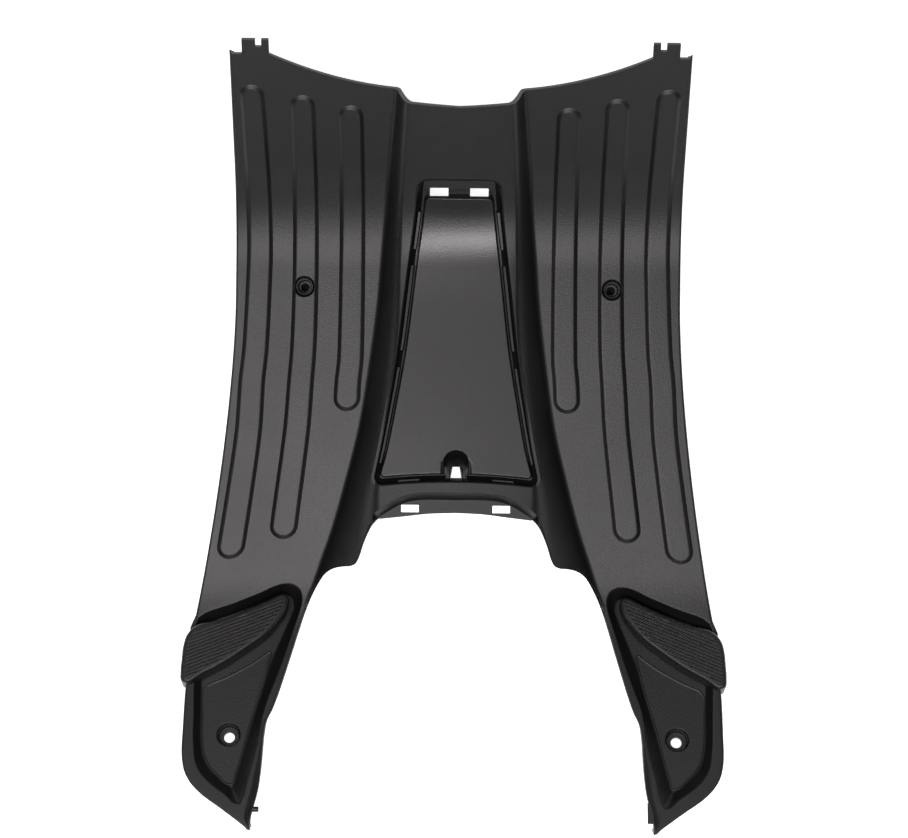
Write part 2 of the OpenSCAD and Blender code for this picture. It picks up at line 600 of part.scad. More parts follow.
// The moulding grows in steps: shell, ribs and bosses, then each cut, then what stands in the cuts
module body() {
    intersection() {
        union() {
            shell();
            seat_shell();
            tail_shell();
        }
        plan_block();
    }
    screw_bosses();
    ribs();
}
module seated() difference() {
    union() body();
    seat_cut();
    step(0, -flange_drop, 3 * wall);
}
module recessed() difference() {
    seated();
    both() on_tail() recess_form();
}
module hollowed() difference() {
    recessed();
    both() pad_void();
}
module floorboard() color([0.13, 0.13, 0.125]) difference() {
    union() {
        hollowed();
        seat_panel();
        ledges();
        pads();
        both() on_tail() field();
        peg();
        clip();
    }
    well_cut();
    slots();
    flange_slots();
    front_waste();
    screw_cuts();
    both() on_tail() tail_cut();
}
floorboard();
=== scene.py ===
# %% [markdown]
# A scooter's floorboard is the plastic panel under the rider's feet. It is one injection moulding
# with a wall of about 3 mm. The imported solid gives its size, and this script draws the same
# moulding again with finer curves and rounded edges, because soft black plastic shows its shape
# only by the light that runs along its edges.

import bmesh
import bpy
import numpy as np
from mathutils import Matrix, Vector


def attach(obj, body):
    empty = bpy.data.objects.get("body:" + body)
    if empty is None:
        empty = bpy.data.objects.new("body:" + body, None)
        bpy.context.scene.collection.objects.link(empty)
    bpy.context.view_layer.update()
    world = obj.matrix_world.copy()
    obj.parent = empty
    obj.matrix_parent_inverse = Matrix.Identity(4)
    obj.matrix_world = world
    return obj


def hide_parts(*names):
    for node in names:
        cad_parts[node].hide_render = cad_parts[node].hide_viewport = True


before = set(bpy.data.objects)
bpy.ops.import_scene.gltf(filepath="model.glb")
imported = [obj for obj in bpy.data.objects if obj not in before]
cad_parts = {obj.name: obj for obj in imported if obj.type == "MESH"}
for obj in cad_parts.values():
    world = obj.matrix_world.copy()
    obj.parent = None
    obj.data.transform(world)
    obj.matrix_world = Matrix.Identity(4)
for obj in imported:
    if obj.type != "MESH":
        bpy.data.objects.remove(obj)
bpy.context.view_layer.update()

# %% [markdown]
# Everything on the panel follows one line: the floor seen from the side. It is flat under the
# rider's heels, bends up to the leg shield in front and bends down into the tails behind. So a
# place on the panel is given as x from the middle, s along that line and h square off it, in
# millimetres, and one function turns the three into a point. Curves drawn in x and s then lie
# on the bent floor by themselves.

# %% The floor's line from the side
HALF_L, HALF_W, FLOOR_HW, FLARE = 281.0, 198.5, 163.5, 27.0
WALL, SKIRT_H = 3.0, 20.0
BEND_Y, TAIL_Y = 124.0, -100.0
FRONT_R, FRONT_A = 120.0, np.radians(38.0)
TAIL_R, TAIL_A = 140.0, np.radians(20.0)
FLAT_L = BEND_Y - TAIL_Y
FRONT_ARC, TAIL_ARC = FRONT_R * FRONT_A, TAIL_R * TAIL_A
FRONT_RUN, TAIL_RUN = 157.0, 181.0
TAB_L, EDGE_RISE = 11.7, 27.0
front_rest = FRONT_RUN - WALL * np.sin(FRONT_A) - FRONT_R * np.sin(FRONT_A)
TIP_S = FLAT_L + FRONT_ARC + front_rest / np.cos(FRONT_A)
EDGE_S = TIP_S - TAB_L - EDGE_RISE
TAIL_S = -TAIL_ARC - (TAIL_RUN - TAIL_R * np.sin(TAIL_A)) / np.cos(TAIL_A)


def line(s):
    """y, z and slope of the floor's line at s: an arc in front, a straight, an arc behind.

    Along an arc the slope grows with s / radius; past it the line goes on straight.
    """
    s = np.asarray(s, float)
    up = np.clip((s - FLAT_L) / FRONT_R, 0, FRONT_A)
    down = np.clip(s / TAIL_R, -TAIL_A, 0)
    past = np.maximum(s - FLAT_L - FRONT_ARC, 0)
    under = np.minimum(s + TAIL_ARC, 0)
    y = TAIL_Y + np.clip(s, 0, FLAT_L) + FRONT_R * np.sin(up) + past * np.cos(FRONT_A)
    y = y + TAIL_R * np.sin(down) + under * np.cos(TAIL_A)
    z = SKIRT_H + FRONT_R * (1 - np.cos(up)) + past * np.sin(FRONT_A)
    z = z + TAIL_R * (1 - np.cos(down)) - under * np.sin(TAIL_A)
    return y, z, up + down


def spot(x, s, h):
    """Points at x from the middle, s along the floor's line and h square off it."""
    y, z, slope = line(s)
    x, s, h = np.broadcast_arrays(np.asarray(x, float), s, h)
    return np.stack([x, y - h * np.sin(slope), z + h * np.cos(slope)], axis=-1)

# %% [markdown]
# The sizes that change along the panel are short tables: a place, as a share of the length of the
# floor, and a value there. A cubic through the rows keeps the lines as fair as on the moulding.

# %% Fair curves through tables and points
def fair(table, place):
    """Cubic through [place, value] rows; the slope at a row is that of the chord of its neighbours."""
    rows = np.asarray(table, float)
    p, v = rows[:, 0], rows[:, 1]
    n = len(p)
    before = np.maximum(np.arange(n) - 1, 0)
    after = np.minimum(np.arange(n) + 1, n - 1)
    lean = (v[after] - v[before]) / (p[after] - p[before])
    i = np.clip(np.searchsorted(p, place) - 1, 0, n - 2)
    d = p[i + 1] - p[i]
    u = (place - p[i]) / d
    held = v[i] * (1 + 2 * u) * (1 - u) ** 2 + v[i + 1] * u * u * (3 - 2 * u)
    return held + d * u * (1 - u) * (lean[i] * (1 - u) - lean[i + 1] * u)


def through(points, per=6, closed=False):
    """Smooth curve through points: a cubic per span, with slopes weighted by the spans' lengths."""
    p = np.asarray(points, float)
    n = len(p)
    if closed:
        p = np.vstack([p[-1:], p, p[:2]])
    else:
        p = np.vstack([2 * p[0] - p[1], p, 2 * p[-1] - p[-2]])
    d = np.linalg.norm(np.diff(p, axis=0), axis=1)[:, None]
    chord = np.diff(p, axis=0) / d
    slope = (chord[:-1] * d[1:] + chord[1:] * d[:-1]) / (d[:-1] + d[1:])
    spans = n if closed else n - 1
    u = (np.arange(per) / per)[None, :, None]
    a, b = p[1:spans + 1, None], p[2:spans + 2, None]
    ma, mb = slope[:spans, None] * d[1:spans + 1, None], slope[1:spans + 1, None] * d[1:spans + 1, None]
    curve = a * (1 + 2 * u) * (1 - u) ** 2 + b * u * u * (3 - 2 * u)
    curve = curve + u * (1 - u) * (ma * (1 - u) - mb * u)
    curve = curve.reshape(-1, 2)
    return curve if closed else np.vstack([curve, p[-2:-1]])


def rounded(corners, reach, steps=7):
    """Open line with its corners rounded by parabolas.

    reach gives, for each corner, how far before it the parabola starts and how far past it it ends.
    """
    c = np.asarray(corners, float)
    parts = [c[..., :1, :]]
    t = np.linspace(0, 1, steps)[:, None]
    for k in range(1, c.shape[-2] - 1):
        here = c[..., k:k + 1, :]
        before, after = reach[k]
        if np.max(before) == 0:
            parts.append(here)
            continue
        back = c[..., k - 1:k, :] - here
        on = c[..., k + 1:k + 2, :] - here
        a = here + back * np.minimum(before / np.linalg.norm(back, axis=-1, keepdims=True), 0.5)
        b = here + on * np.minimum(after / np.linalg.norm(on, axis=-1, keepdims=True), 0.5)
        parts.append(a * (1 - t) ** 2 + 2 * here * t * (1 - t) + b * t * t)
    parts.append(c[..., -1:, :])
    return np.concatenate(parts, axis=-2)


# %% [markdown]
# Each piece is a row of rings: closed outlines that climb from a piece's foot to its top. Two
# helpers turn rings into a closed mesh and cut one mesh with another. The cuts open the seats,
# slots and screw holes, as the steel inserts of a mould do.

# %% Rings to a mesh, and cuts
def from_rings(name, rings, pointed=False):
    """Closed mesh through rings in millimetres: quads between neighbours and a flat cap at each end.

    A pointed one needs no caps, because its first and last ring have shrunk to a line.
    """
    rings = np.asarray(rings, float)
    m, n = rings.shape[:2]
    j, i = np.meshgrid(np.arange(m - 1), np.arange(n), indexing="ij")
    k = (i + 1) % n
    quads = np.stack([j * n + i, j * n + k, (j + 1) * n + k, (j + 1) * n + i], axis=-1).reshape(-1, 4)
    faces = quads.tolist()
    if not pointed:
        faces += [list(range(n))[::-1], list(range((m - 1) * n, m * n))]
    mesh = bpy.data.meshes.new(name)
    mesh.from_pydata((rings.reshape(-1, 3) / 1000).tolist(), [], faces)
    piece = bpy.data.objects.new(name, mesh)
    bpy.context.collection.objects.link(piece)
    tidy(piece)
    return piece


def tidy(piece, distance=1e-6):
    """Merges doubles, drops faces without area and points every face outwards."""
    bm = bmesh.new()
    bm.from_mesh(piece.data)
    bmesh.ops.remove_doubles(bm, verts=bm.verts, dist=distance)
    bmesh.ops.dissolve_degenerate(bm, edges=bm.edges, dist=distance / 4)
    bmesh.ops.recalc_face_normals(bm, faces=bm.faces)
    bm.to_mesh(piece.data)
    bm.free()


def combine(piece, others, operation="DIFFERENCE"):
    """Cuts the others out of piece, or fuses them with it, and removes them."""
    for other in others:
        step = piece.modifiers.new("step", "BOOLEAN")
        step.operation = operation
        step.solver = "MANIFOLD"
        step.object = other
    graph = bpy.context.evaluated_depsgraph_get()
    mesh = bpy.data.meshes.new_from_object(piece.evaluated_get(graph))
    piece.modifiers.clear()
    piece.data = mesh
    for other in others:
        bpy.data.objects.remove(other)
    return piece


def joined(name, pieces):
    """One object from several, each of which stays a closed mesh in it."""
    bm = bmesh.new()
    for piece in pieces:
        bm.from_mesh(piece.data)
        bpy.data.objects.remove(piece)
    mesh = bpy.data.meshes.new(name)
    bm.to_mesh(mesh)
    bm.free()
    whole = bpy.data.objects.new(name, mesh)
    bpy.context.collection.objects.link(whole)
    return whole


def copies(piece):
    """The piece and its mirror image on the left side."""
    other = bpy.data.objects.new(piece.name + "_left", piece.data.copy())
    bpy.context.collection.objects.link(other)
    bm = bmesh.new()
    bm.from_mesh(other.data)
    bmesh.ops.scale(bm, vec=(-1, 1, 1), verts=bm.verts)
    bmesh.ops.recalc_face_normals(bm, faces=bm.faces)
    bm.to_mesh(other.data)
    bm.free()
    return [piece, other]


def grown(outline, by):
    """Closed outline moved out by a distance along its own normals."""
    ahead = np.roll(outline, -1, axis=0) - np.roll(outline, 1, axis=0)
    out = np.stack([ahead[:, 1], -ahead[:, 0]], axis=-1)
    out = out / np.linalg.norm(out, axis=-1, keepdims=True)
    after = np.roll(outline, -1, axis=0)
    area = np.sum(outline[:, 0] * after[:, 1] - outline[:, 1] * after[:, 0])
    return outline + by * np.sign(area) * out


def climb(outline, core, steps, place):
    """Rings round an outline, one for each step (share, by, lift).

    The outline is grown by that distance, drawn in towards its core by the share, and lifted.
    place turns x, s and lift into a point.
    """
    rings = []
    for share, by, lift in steps:
        ring = core + share * (grown(outline, by) - core)
        rings.append(place(ring[:, 0], ring[:, 1], lift))
    return np.stack(rings)


def prism(name, outline, low, high, place):
    """Straight block over a closed outline."""
    x, y = np.asarray(outline, float).T
    return from_rings(name, np.stack([place(x, y, low), place(x, y, high)]))


def upright(x, y, z):
    """Point in the part's own frame."""
    return np.stack(np.broadcast_arrays(x, y, np.asarray(z, float)), axis=-1)


def disc(x, y, r, n=48):
    """Circle as an outline."""
    a = np.linspace(0, 2 * np.pi, n, endpoint=False)
    return np.stack([x + r * np.cos(a), y + r * np.sin(a)], axis=-1)


# %% [markdown]
# The shell is the floor, the skirts that hang from its sides and the tunnel that runs down its
# middle over the scooter's frame. Its section changes all the way along, so it is drawn as a few
# named corners for every s at once, rounded, and mirrored. The foot of the tunnel and its
# shoulders are rounded as on the moulding, because those curves catch the light.

# %% Side, foot, shoulder and height of the shell
FOOT = [[-0.082, 0.667], [-0.057, 0.660], [-0.023, 0.632], [0.023, 0.598], [0.092, 0.546],
        [0.182, 0.491], [0.288, 0.434], [0.389, 0.398], [0.538, 0.357], [0.628, 0.342],
        [0.717, 0.326], [0.796, 0.315], [0.954, 0.286], [1.114, 0.255]]
SHOULDER = [[-0.082, 0.514], [-0.057, 0.477], [-0.023, 0.434], [0.023, 0.404], [0.092, 0.379],
            [0.182, 0.365], [0.288, 0.326], [0.465, 0.283], [0.628, 0.272], [0.796, 0.264],
            [1.000, 0.242], [1.114, 0.229]]
RISE = [[-0.082, 1.17], [0.023, 1.07], [0.092, 0.97], [0.182, 0.79], [0.288, 0.62],
        [0.538, 0.17], [0.628, 0.07], [0.796, 0], [1.114, 0]]
TUNNEL_END = -0.08 * EDGE_S
CROWN = 2.0


def foot_x(s):
    """Where the tunnel's side meets the floor; past the tunnel's end it runs in, out of the way."""
    kept = np.maximum(s, TUNNEL_END)
    return fair(FOOT, kept / EDGE_S) * FLOOR_HW + np.minimum(s - TUNNEL_END, 0) * 0.3


def shoulder_x(s):
    """Where the tunnel's side meets its top."""
    kept = np.maximum(s, TUNNEL_END)
    return fair(SHOULDER, kept / EDGE_S) * FLOOR_HW + np.minimum(s - TUNNEL_END, 0) * 0.3


def tunnel_h(s):
    """Height of the tunnel's shoulders over the floor."""
    return 18.0 + 29.0 * fair(RISE, np.maximum(s, TUNNEL_END) / EDGE_S)


def top_h(x, s):
    """Height of the tunnel's top: its shoulders' height and a parabola of crown between them."""
    return tunnel_h(s) + CROWN * (1 - np.minimum(np.abs(x) / shoulder_x(s), 1) ** 2)


# %% The plan: how wide the panel is, and the gap between the tails
FLARE_Y, FLARE_END, FLARE_POWER = 0.355 * HALF_L, -0.482 * HALF_L, 1.62
side_y = np.linspace(FLARE_Y, FLARE_END, 30)
side_x = FLOOR_HW + FLARE * ((FLARE_Y - side_y) / (FLARE_Y - FLARE_END)) ** FLARE_POWER
tail_side = through([[0.958, -0.482], [0.974, -0.571], [0.983, -0.657], [0.986, -0.751], [0.985, -0.826],
                     [0.977, -0.854], [0.957, -0.881], [0.919, -0.909], [0.846, -0.944], [0.730, -1.0]])
side_y = np.concatenate([side_y, tail_side[1:, 1] * HALF_L])
side_x = np.concatenate([side_x, tail_side[1:, 0] * HALF_W])


def outer_x(y):
    """Half width of the panel at y, from its outline."""
    return np.interp(-y, -side_y, side_x)


INNER = [[0.727, -1.0], [0.727, -0.975], [0.717, -0.944], [0.704, -0.905], [0.696, -0.858],
         [0.692, -0.815], [0.688, -0.769], [0.680, -0.733], [0.661, -0.705], [0.645, -0.674],
         [0.623, -0.625], [0.597, -0.564], [0.572, -0.504], [0.554, -0.463], [0.525, -0.411],
         [0.502, -0.380], [0.482, -0.359], [0.458, -0.345], [0.436, -0.338], [0.407, -0.333],
         [0.380, -0.330], [0.360, -0.322], [0.349, -0.307], [0.335, -0.276], [0.317, -0.244],
         [0.300, -0.222], [0.281, -0.207]]
inner_edge = through(INNER) * [HALF_W, HALF_L]
FLANGE_EDGE = [[0.272, -0.207], [0.197, -0.201], [0.101, -0.193], [0.0, -0.190]]
flange_edge = through(FLANGE_EDGE) * [HALF_W, HALF_L]
print("inner edge:", len(inner_edge), "points")

# %% Build the shell
# How far the roundings reach: at the floor's side, at the tunnel's foot, and at its shoulder before
# and past the corner. The shoulder's grow by SHOULDER_MORE from SOFT_FROM down to the rear.
SECTION_EDGE, FOOT_REACH = 2.0, 2.8
SHOULDER_REACH, SHOULDER_MORE = (12, 3.2), (4, 3.5)
SOFT_FROM, SOFT_OVER = 0.26, 0.12
stations = np.unique(np.concatenate([
    np.linspace(TAIL_S, -TAIL_ARC, 40), np.linspace(-TAIL_ARC, 0, 26), np.linspace(0, FLAT_L, 60),
    np.linspace(FLAT_L, FLAT_L + FRONT_ARC, 40), np.linspace(FLAT_L + FRONT_ARC, TIP_S + 2, 30)]))


def section(s, depth):
    """Right half of the shell's section, depth inside its outer face, from the side to the middle."""
    s = s[:, None]
    foot, top = foot_x(s) - 0.7 * depth, shoulder_x(s) - depth
    side = np.full_like(foot, 1.0)
    high = tunnel_h(s) - depth
    xs = [side * 0, side * 0, foot, top] + [top * k for k in (0.75, 0.5, 0.25, 0.0)]
    hs = [-SKIRT_H * side, -depth * side, -depth * side, high]
    hs += [high + CROWN * (1 - k * k) for k in (0.75, 0.5, 0.25, 0.0)]
    corners = np.stack([np.concatenate(xs, axis=1), np.concatenate(hs, axis=1)], axis=-1)
    y, z, slope = line(s)
    for k in (0, 1):
        corners[:, k, 0] = outer_x((y - corners[:, k:k + 1, 1] * np.sin(slope))[:, 0]) - depth
    edge = SECTION_EDGE if depth == 0 else 0
    soft = np.clip((SOFT_FROM - s[:, None] / EDGE_S) / SOFT_OVER, 0, 1)
    shoulder = [near + more * soft for near, more in zip(SHOULDER_REACH, SHOULDER_MORE)]
    return rounded(corners, [(0, 0), (edge, edge), (FOOT_REACH, FOOT_REACH), shoulder] + [(0, 0)] * 4)


outside = section(stations, 0.0)
inside = section(stations, WALL)
mirror = np.array([-1.0, 1.0])
ring = [outside, (outside * mirror)[:, -2::-1], inside * mirror, inside[:, -2::-1]]
ring = np.concatenate(ring, axis=1)
shell = from_rings("shell", spot(ring[..., 0], stations[:, None], ring[..., 1]))
print("shell:", len(shell.data.polygons), "faces")

# %% [markdown]
# Under the shell hang the tubs of the seat, the lock well, the rear step and the two tails, the
# bosses of the screws and three webs a side. They are fused with it first, so that each later cut
# leaves a wall of the moulding's own thickness behind.

# %% Places on the tunnel's top and on a tail
SEAT_RIM = [[0.179, 0.372], [0.249, 0.339], [0.348, 0.300], [0.447, 0.2665], [0.543, 0.242],
            [0.641, 0.217], [0.741, 0.194], [0.826, 0.180]]
PANEL = [[0.194, 0.338], [0.249, 0.305], [0.348, 0.2655], [0.447, 0.2295], [0.543, 0.2035],
         [0.641, 0.179], [0.741, 0.155], [0.800, 0.147]]
SEAT_DEPTH, PANEL_H, GUTTER, SEAT_FOOT = 9.0, 5.0, 11.2, -12.4
SINK, WEB_T, WEB_H, WEB_OUT = 1.5, 2, 9.0, 162
SCREW_X, SCREW_Y, SCREW_R, SCREW_BOSS_R = 113, 110.5, 3, 7.7
RIDGE = [[0, -0.140], [0.129, -0.141], [0.198, -0.152], [0.281, -0.186], [0.36, -0.215]]
FLANGE_HW, FLANGE_TOP, RISER_LEAN, FLANGE_MID, FLANGE_LEAN = 59.55, 56.65, 3.85, -48.0, 0.13
TAIL_KNEE = TAIL_Y - TAIL_R * np.tan(TAIL_A / 2)
TAIL_L = (HALF_L + TAIL_KNEE) / np.cos(TAIL_A)
TAIL_DEPTH, PAD_H = 8.0, 8.0


def on_tunnel(x, s, lift):
    """Point on the tunnel: lift over the height that its shoulders have at s."""
    return spot(x, s, tunnel_h(s) + lift)


def on_seat(x, s, lift):
    """The same for the cover's seat, whose rear end is bowed forward in the middle."""
    fade = np.clip((0.40 - s / EDGE_S) / 0.2, 0, 1)
    return on_tunnel(x, s + 3.6 * (1 - (x / 58) ** 2) * fade * fade * (3 - 2 * fade), lift)


def on_tail(x, v, w):
    """Point in the frame of the sloping tails: v forward along them and w square off them."""
    x, v, w = np.broadcast_arrays(np.asarray(x, float), v, w)
    y = TAIL_KNEE + v * np.cos(TAIL_A) + w * np.sin(TAIL_A)
    return np.stack([x, y, SKIRT_H - v * np.sin(TAIL_A) + w * np.cos(TAIL_A)], axis=-1)


def over_tail(x, v, w):
    """The same with w counted from the moulding's face, which leaves the tail's plane on the bend.

    There it is a circle: rise = R - sqrt(R^2 - d^2), with d the distance from where the bend starts.
    """
    d = np.maximum(v + TAIL_R * np.tan(TAIL_A / 2), 0)
    return on_tail(x, v, w + TAIL_R - np.sqrt(TAIL_R ** 2 - d ** 2))


def lane(table, r, n=60, stop=0.826):
    """Outline in x and s of a lane along the tunnel: half width from a table, corners of radius r."""
    a, b = table[0][0] * EDGE_S, stop * EDGE_S
    turn = r * (1 - np.cos(np.linspace(0, np.pi / 2, 7)))
    s = np.concatenate([a + turn, np.linspace(a + r, b - r, n)[1:-1], b - turn[::-1]])
    d = np.minimum(np.minimum(s - a, b - s), r)
    x = fair(table, s / EDGE_S) * FLOOR_HW - r + np.sqrt(r * r - (r - d) ** 2)
    ends = np.linspace(1, -1, 15)[1:-1, None]
    front, rear = ends * [x[-1], 0] + [0, b], ends[::-1] * [x[0], 0] + [0, a]
    return np.concatenate([np.stack([x, s], axis=-1), front, np.stack([-x, s], axis=-1)[::-1], rear])


def lane_core(outline, reach):
    """Middle line that an outline shrinks to: straight down the tunnel, reach short of both ends."""
    low, high = outline[:, 1].min() + reach, outline[:, 1].max() - reach
    return np.stack([outline[:, 0] * 0, np.clip(outline[:, 1], low, high)], axis=-1)


def ridge_line(shift, n=41):
    """x and y of the ridge behind the tunnel's top, moved forward by shift."""
    x = np.linspace(-FLANGE_HW, FLANGE_HW, n)
    return x, fair(RIDGE, np.abs(x) / HALF_W) * HALF_L + shift


def step_ring(shift, z, lean=0.0):
    """Outline of the step behind the ridge at one height, or in a plane that leans up to the rear."""
    x, y = ridge_line(shift)
    back = np.full_like(x, -0.24 * HALF_L)
    y = np.concatenate([y, back])
    return upright(np.concatenate([x, x[::-1]]), y, z + lean * (FLANGE_MID - y))


seat = lane(SEAT_RIM, 8.0, stop=0.821)
panel = lane(PANEL, 4.0, stop=0.771)
well_y = -28.6
WELL_R, WELL_L, WELL_FLOOR, WELL_TOP, WELL_TUB = 8.75, 21.0, 37.0, 55.0, 8
turn = np.linspace(0, np.pi, 25)
well = np.stack([WELL_R * np.cos(turn), well_y + WELL_L - WELL_R + WELL_R * np.sin(turn)], axis=-1)
well = np.vstack([[WELL_R, well_y - 4], well, [-WELL_R, well_y - 4]])
print("seat", seat.shape, "well", well.shape)

# %% Tail outlines
RECESS_RIM = [[0.945, -0.058], [0.818, 0.007], [0.710, 0.059], [0.664, 0.084], [0.627, 0.095],
              [0.598, 0.092], [0.574, 0.073], [0.564, 0.043], [0.564, 0.017], [0.572, -0.024],
              [0.589, -0.088], [0.611, -0.175], [0.630, -0.250], [0.665, -0.371], [0.684, -0.435],
              [0.696, -0.500], [0.703, -0.570], [0.737, -0.754],
              [0.758, -0.861], [0.767, -0.884], [0.782, -0.884], [0.817, -0.849], [0.886, -0.787],
              [0.914, -0.751], [0.934, -0.704], [0.943, -0.638], [0.948, -0.477], [0.952, -0.271]]
RECESS_FOOT = [[0.929, -0.084], [0.816, -0.019], [0.710, 0.033], [0.662, 0.057], [0.632, 0.065],
               [0.610, 0.060], [0.597, 0.045], [0.592, 0.021], [0.592, 0.000], [0.602, -0.036],
               [0.620, -0.093], [0.647, -0.175], [0.670, -0.250], [0.698, -0.371], [0.712, -0.435],
               [0.726, -0.500], [0.741, -0.570], [0.778, -0.747],
               [0.792, -0.801], [0.795, -0.809], [0.803, -0.813], [0.816, -0.802], [0.867, -0.754],
               [0.893, -0.722], [0.913, -0.677], [0.924, -0.615], [0.929, -0.477], [0.932, -0.271]]
FIELD = [[0.921, -0.366], [0.838, -0.311], [0.755, -0.255], [0.701, -0.209], [0.681, -0.192],
         [0.672, -0.200], [0.677, -0.243], [0.744, -0.550], [0.785, -0.747], [0.799, -0.795],
         [0.814, -0.795], [0.862, -0.748], [0.887, -0.716], [0.906, -0.673], [0.917, -0.612],
         [0.922, -0.477]]
PAD = [[0.960, -0.111], [0.972, -0.126], [0.985, -0.151], [0.993, -0.187], [0.998, -0.259],
       [1.000, -0.325], [0.997, -0.349], [0.985, -0.361], [0.916, -0.321], [0.844, -0.273],
       [0.752, -0.196], [0.698, -0.146], [0.649, -0.076], [0.626, -0.033], [0.616, 0.006],
       [0.614, 0.027], [0.618, 0.045], [0.630, 0.048], [0.685, 0.020], [0.757, -0.022],
       [0.852, -0.073]]
on_scale = np.array([HALF_W, TAIL_L])
recess_rim = through(np.array(RECESS_RIM) * on_scale, 4, True)
recess_foot = through(np.array(RECESS_FOOT) * on_scale, 4, True)
field = through(np.array(FIELD) * on_scale, 4, True)
pad = through(np.array(PAD) * on_scale, 4, True)
pad[:, 0] = np.minimum(pad[:, 0], HALF_W)
hole_x, hole_v, HEAD_FLOOR = 0.820 * HALF_W, -0.571 * TAIL_L, -16.0
print("recess", recess_rim.shape, "pad", pad.shape)

# %% Fuse the tubs, bosses and webs with the shell
seat_core = lane_core(seat, 30)
steps = [(0, 0, -GUTTER - WALL), (1, 0, -GUTTER - WALL), (1, 2, -SEAT_DEPTH - WALL),
         (1, 2, -SINK), (0, 0, -SINK)]
tubs = [from_rings("seat_tub", climb(seat, seat_core, steps, on_seat), pointed=True)]
tubs.append(prism("well_tub", grown(well, 3.0), WELL_FLOOR - WELL_TUB, WELL_TOP - 3, upright))
rings = [step_ring(WALL - 1, FLANGE_TOP - WALL), step_ring(WALL, 62.0)]
tubs.append(from_rings("step_tub", np.stack(rings)))
for side in (1, -1):
    for share in (0.1, 0.3, 0.5):
        y, inner = TAIL_Y + share * EDGE_S, foot_x(share * EDGE_S) - SINK
        corners = [[inner, y], [WEB_OUT, y], [WEB_OUT, y + WEB_T], [inner, y + WEB_T]]
        corners = np.array(corners) * [side, 1]
        tubs.append(prism("web", corners, SKIRT_H - SINK - WEB_H, SKIRT_H - SINK, upright))
    boss = disc(side * SCREW_X, SCREW_Y, SCREW_BOSS_R)
    tubs.append(prism("boss", boss, 1, SKIRT_H - SINK, upright))
around = grown(recess_rim, 3).T
rings = [on_tail(*around, -TAIL_DEPTH - WALL), over_tail(*around, -SINK)]
tail_tub = from_rings("tail_tub", np.stack(rings))
tubs += copies(tail_tub)
tubs += copies(prism("tail_boss", disc(hole_x, hole_v, 10.8), HEAD_FLOOR - WALL, -TAIL_DEPTH - 1, on_tail))
combine(shell, tubs, "UNION")
print("with tubs:", len(shell.data.polygons), "faces")

# %% [markdown]
# Then the outline is cut from above, like the trimming of the moulding, and the seats and slots
# follow. Each cut flares a little at its mouth, which leaves the soft rim that the light finds.

# %% Trim the shell to its outline
SKIRT_END = 8.2
TAB_IN, TAB_MID, TAB_OUT = 0.828 * FLOOR_HW, 0.860 * FLOOR_HW, 0.945 * FLOOR_HW
LIP_W = [[-281, 0.05], [-279.5, 0.4], [-277, 1.8], [-273, 4.4], [-268, 5.2], [-257, 5.0],
         [-244, 4.4], [-230, 2.6], [-217, 1.4], [-93, 1.3], [-82, 1.2], [-60, 0.2], [-50, 0.05]]
lip_w = np.interp(inner_edge[:, 1], *np.array(LIP_W).T)[:, None]
ahead = np.gradient(inner_edge, axis=0)
out = np.stack([ahead[:, 1], -ahead[:, 0]], axis=-1) / np.linalg.norm(ahead, axis=1)[:, None]
out[0] = [1, 0]
pulled = inner_edge + (lip_w + 0.1 * np.minimum(lip_w, 1)) * out
around = [[0, HALF_L + 9], [157.5, HALF_L + 9], [157.5, HALF_L - SKIRT_END],
          [175, HALF_L - SKIRT_END], [215, 100], [215, -HALF_L]]
right = np.concatenate([around, pulled, flange_edge])
plan = np.concatenate([right, (right * mirror)[-2:0:-1]])
trim = prism("trim", plan, -40, 150, upright)
combine(shell, [trim], "INTERSECT")
print("trimmed:", len(shell.data.polygons), "faces")

# %% Cut the seats, slots and screw holes
def on_crown(x, s, lift):
    """Point over the tunnel's crowned top, in the seat's bowed plan."""
    place = on_seat(x, s, lift)
    return place + upright(0, 0, CROWN * (1 - np.minimum(np.abs(x) / shoulder_x(s), 1) ** 2))


cuts = []
wall = [(0, 0, -GUTTER), (1, -4.2, -GUTTER), (1, -1.6, -SEAT_DEPTH + 1.0),
        (1, -1.2, -SEAT_DEPTH + 1.8)]
mouth = [(1, -0.6, -2.2), (1, -0.4, -1.2), (1, -0.15, -0.6), (1, 0.2, -0.25), (1, 0.7, -0.05),
         (1, 1.3, 0.04), (1, 2.4, 0.8), (1, 6, 5), (0, 0, 5)]
rings = [climb(seat, seat_core, wall, on_seat), climb(seat, seat_core, mouth, on_crown)]
cuts.append(from_rings("seat_cut", np.concatenate(rings), pointed=True))
top = SKIRT_H + top_h(ridge_line(0)[0], ridge_line(0)[1] - TAIL_Y)
top = np.concatenate([top, top[::-1]])
rings = [step_ring(-RISER_LEAN - 1, FLANGE_TOP, FLANGE_LEAN),
         step_ring(-RISER_LEAN, FLANGE_TOP + 0.9, FLANGE_LEAN)]
for shift, lift in ((-0.6, -1.8), (0.0, -0.8), (1.1, -0.15), (3.0, 0.2), (9.0, 6)):
    rings.append(step_ring(shift, top + lift))
cuts.append(from_rings("step_cut", np.stack(rings)))
print(len(cuts), "cuts")


def well_cutter():
    """Cutter for the lock well: a bowl with steep sides that deepens towards the keyhole."""
    middle = np.array([0.0, well_y - 3])
    low = middle + (well - middle) * [0.50, 0.47]
    rings = [upright(*low.T, WELL_FLOOR)]
    steps = [(0.3, 0, 5.5), (0.55, 0, 10), (0.78, 0, 14), (0.93, 0, 16.4), (1, 0, 17.4),
             (1, 0.25, 17.8), (1, 0.9, 18), (1, 2.2, 18.4), (1, 6, 22)]
    for share, by, z in steps:
        rings.append(upright(*grown(low + share * (well - low), by).T, WELL_FLOOR + z))
    return from_rings("well_cut", np.stack(rings))


